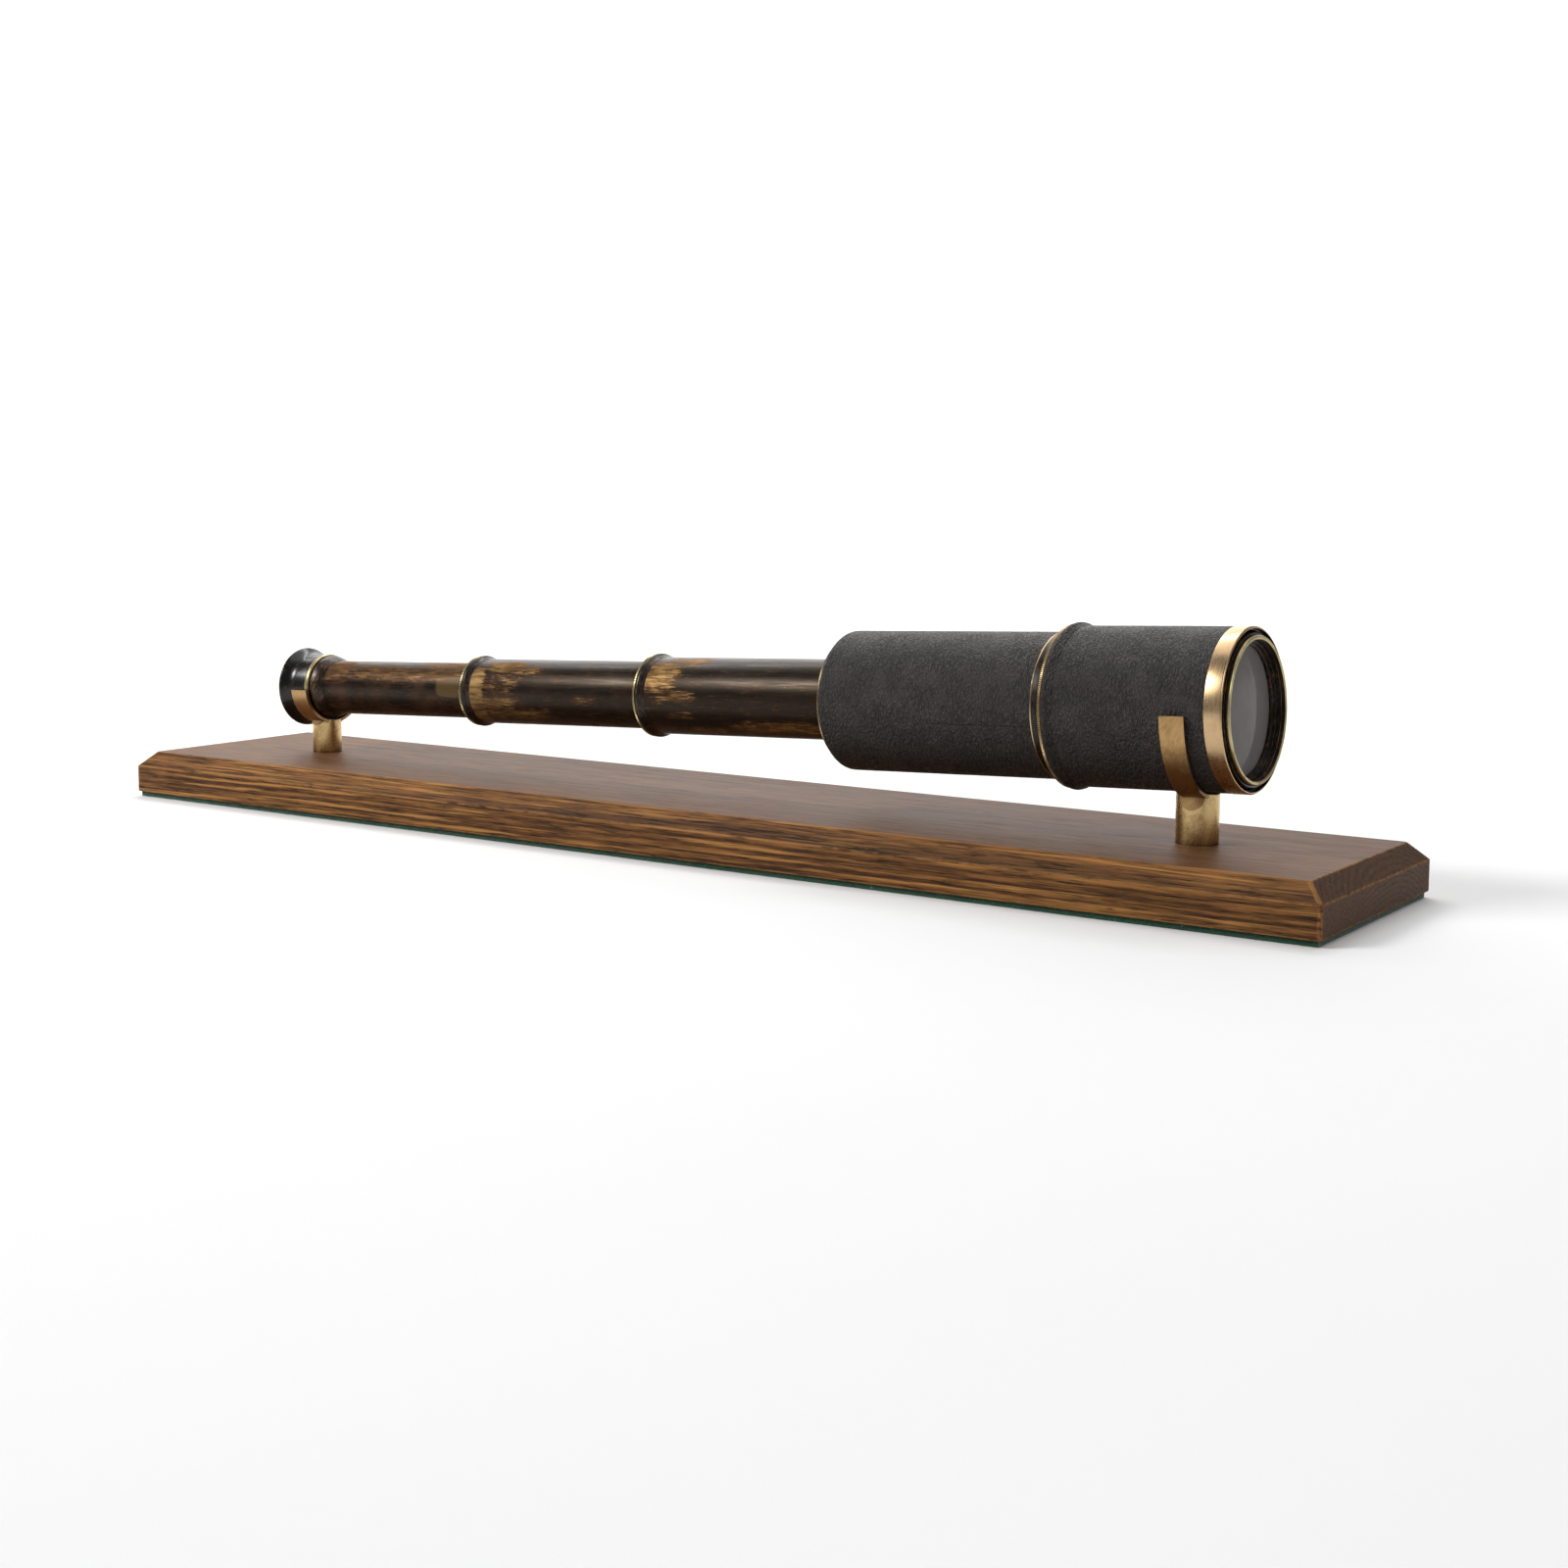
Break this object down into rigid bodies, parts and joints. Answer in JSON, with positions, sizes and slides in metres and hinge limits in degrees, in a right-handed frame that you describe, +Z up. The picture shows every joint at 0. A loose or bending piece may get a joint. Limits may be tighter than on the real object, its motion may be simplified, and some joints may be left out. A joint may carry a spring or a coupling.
{
  "type": "draw telescope",
  "caption": "Leather-covered brass draw telescope with sliding sunshade and lacquered draws, resting in two brass cradles on a chamfered oak plinth.",
  "frame": {"origin": "centre of the plinth's footprint, on the surface it stands on", "axes": "+X along the plinth towards the objective, +Y towards the back, +Z up; the optical axis lies in the XZ plane, 2.36 degrees up towards +X"},
  "size_m": [0.72, 0.136, 0.1251],
  "materials": {
    "oak": "waxed",
    "baize": "felt",
    "satin_brass": "satin",
    "steel": "plated",
    "ebonite": "polished",
    "bright_brass": "polished",
    "black_brass": "blackened, worn at the edges",
    "worn_draw_one": "black lacquer worn to brown",
    "worn_draw_two": "black lacquer worn to brass",
    "worn_draw_three": "black lacquer worn to brass",
    "bare_brass": "dull",
    "glass": "coated",
    "leather": "pebbled, dry"
  },
  "bodies": {
    "stand": {"oak_base": "oak", "baize_pad": "baize", "eye_post": "satin_brass", "objective_post": "satin_brass", "eye_cradle": "satin_brass", "objective_cradle": "satin_brass", "post_screws": "steel"},
    "eye_draw": {"eye_cup": "ebonite", "eye_cup_ring": "bright_brass", "eye_collar": "black_brass", "first_draw": "worn_draw_one", "first_draw_stop": "bare_brass", "eyepiece_tube": "black_brass", "eye_lens": "glass", "field_lens": "glass", "field_stop": "black_brass", "erector_tube": "black_brass", "rear_erector_lens": "glass", "front_erector_lens": "glass", "erector_stop": "black_brass"},
    "middle_draw": {"second_draw": "worn_draw_two", "second_draw_collar": "black_brass", "second_draw_bush": "bare_brass", "second_draw_stop": "bare_brass"},
    "last_draw": {"third_draw": "worn_draw_three", "third_draw_collar": "black_brass", "third_draw_bush": "bare_brass", "third_draw_stop": "bare_brass"},
    "barrel": {"barrel_tube": "bare_brass", "barrel_leather": "leather", "barrel_end_ring": "bright_brass", "barrel_bush": "bare_brass", "barrel_front_band": "black_brass", "glare_stop": "black_brass", "objective_cell": "black_brass", "objective_rim": "bright_brass", "crown_lens": "glass", "flint_lens": "glass", "lens_spacer": "bare_brass", "lens_retaining_ring": "black_brass"},
    "sunshade": {"shade_tube": "bare_brass", "shade_leather": "leather", "shade_flange": "leather", "shade_milled_ring": "bright_brass", "shade_front_ring": "bright_brass"}
  },
  "joints": [
    {"name": "lift_off", "type": "slide", "parent": "stand", "child": "eye_draw", "axis": [0, 0, 1], "range_m": [0, 0.12]},
    {"name": "eye_draw_slide", "type": "slide", "parent": "eye_draw", "child": "middle_draw", "axis": [-0.9992, 0, -0.0412], "range_m": [0, 0.104]},
    {"name": "middle_draw_slide", "type": "slide", "parent": "middle_draw", "child": "last_draw", "axis": [-0.9992, 0, -0.0412], "range_m": [0, 0.115]},
    {"name": "last_draw_slide", "type": "slide", "parent": "last_draw", "child": "barrel", "axis": [-0.9992, 0, -0.0412], "range_m": [0, 0.113]},
    {"name": "sunshade_slide", "type": "slide", "parent": "barrel", "child": "sunshade", "axis": [0.9992, 0, 0.0412], "range_m": [0, 0.04]}
  ]
}
